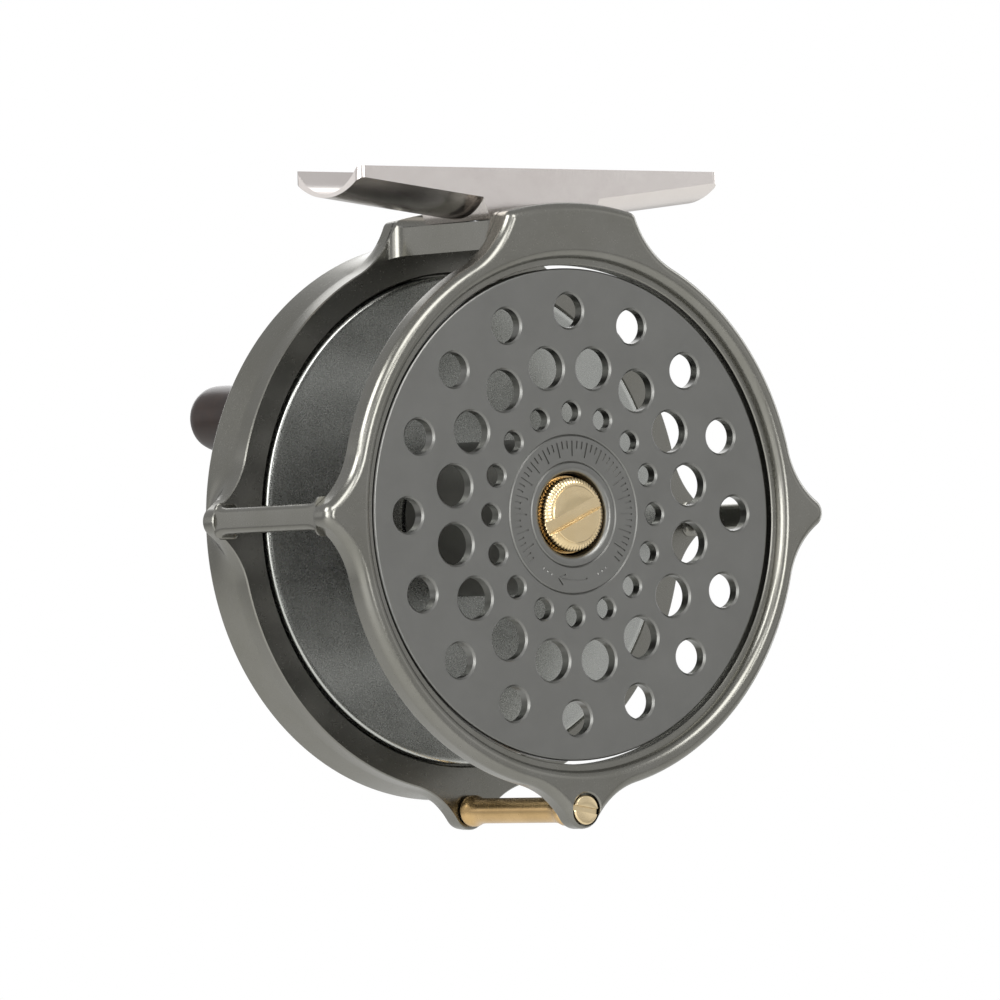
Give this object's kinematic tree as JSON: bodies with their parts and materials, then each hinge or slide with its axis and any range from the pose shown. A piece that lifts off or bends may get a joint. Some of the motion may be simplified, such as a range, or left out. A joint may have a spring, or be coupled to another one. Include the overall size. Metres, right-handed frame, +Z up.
{
  "type": "fly reel",
  "caption": "Fly reel: perforated drum in an open frame with raised pillars, a line roller, a ball race, a click check and a handle plate, under a saddle foot",
  "frame": {"origin": "the middle of the foot's seat: the lowest line of its trough, halfway along it", "axes": "the reel's axis is along Y with the drum face at -Y and the handle at +Y; +Z is up towards the rod; X is along the foot and the rod"},
  "size_m": [0.0878, 0.0558, 0.0934],
  "materials": {
    "anodised_alloy": "satin gunmetal anodised aluminium",
    "dark_alloy": "dark anodised aluminium",
    "polished_alloy": "polished and anodised aluminium",
    "satin_silver": "satin nickel silver",
    "bright_brass": "bright turned brass",
    "aged_brass": "darkened brass",
    "steel": "ground steel",
    "brown_resin": "polished dark brown resin"
  },
  "bodies": {
    "frame": {"frame": "anodised_alloy", "reel_foot": "satin_silver", "foot_screw_left": "steel", "foot_screw_right": "steel", "roller_screw": "bright_brass", "race_cup": "steel", "pawl_post": "aged_brass", "spring_post": "aged_brass", "check_spring": "steel"},
    "winder": {"handle_plate": "anodised_alloy", "spindle": "steel", "spindle_nut": "bright_brass", "race_cone": "steel", "check_wheel": "steel", "handle_pin": "steel"},
    "handle": {"handle_knob": "brown_resin", "handle_collar": "bright_brass"},
    "drum": {"drum_face_plate": "anodised_alloy", "drum_arbor": "dark_alloy", "drum_back_plate": "polished_alloy", "drum_hub": "aged_brass"},
    "screw": {"drum_screw": "bright_brass"},
    "ball_ring": {"ball_cage": "aged_brass", "ball_01": "steel", "ball_02": "steel", "ball_03": "steel", "ball_04": "steel", "ball_05": "steel", "ball_06": "steel", "ball_07": "steel", "ball_08": "steel", "ball_09": "steel", "ball_10": "steel"},
    "roller": {"line_roller": "aged_brass"},
    "pawl": {"check_pawl": "steel"},
    "regulator": {"regulator_screw": "bright_brass"}
  },
  "joints": [
    {"name": "spool_spin", "type": "hinge", "parent": "frame", "child": "winder", "pos_m": [0, 0.0168, -0.0455], "axis": [0, 1, 0], "continuous": true},
    {"name": "drum_draw", "type": "slide", "parent": "winder", "child": "drum", "axis": [0, -1, 0], "range_m": [0, 0.04]},
    {"name": "screw_turn", "type": "hinge", "parent": "drum", "child": "screw", "pos_m": [0, -0.0136, -0.0455], "axis": [0, 1, 0], "range_deg": [0, 360]},
    {"name": "handle_spin", "type": "hinge", "parent": "winder", "child": "handle", "pos_m": [-0.0242, 0.0324, -0.0301], "axis": [0, 1, 0], "continuous": true},
    {"name": "ball_ring_spin", "type": "hinge", "parent": "frame", "child": "ball_ring", "pos_m": [0, 0.0168, -0.0455], "axis": [0, 1, 0], "continuous": true},
    {"name": "roller_spin", "type": "hinge", "parent": "frame", "child": "roller", "pos_m": [0, 0.0004, -0.0871], "axis": [0, 1, 0], "continuous": true},
    {"name": "pawl_rock", "type": "hinge", "parent": "frame", "child": "pawl", "pos_m": [0.0235, 0.0174, -0.0455], "axis": [0, 1, 0], "range_deg": [-10, 10], "stiffness_Nm_per_rad": 0.002},
    {"name": "regulator_turn", "type": "hinge", "parent": "frame", "child": "regulator", "pos_m": [0.041, 0.0183, -0.0455], "axis": [1, 0, 0], "range_deg": [-180, 180]}
  ],
  "couplings": [
    {"joint": "ball_ring_spin", "follows": "spool_spin", "ratio": 0.427}
  ]
}
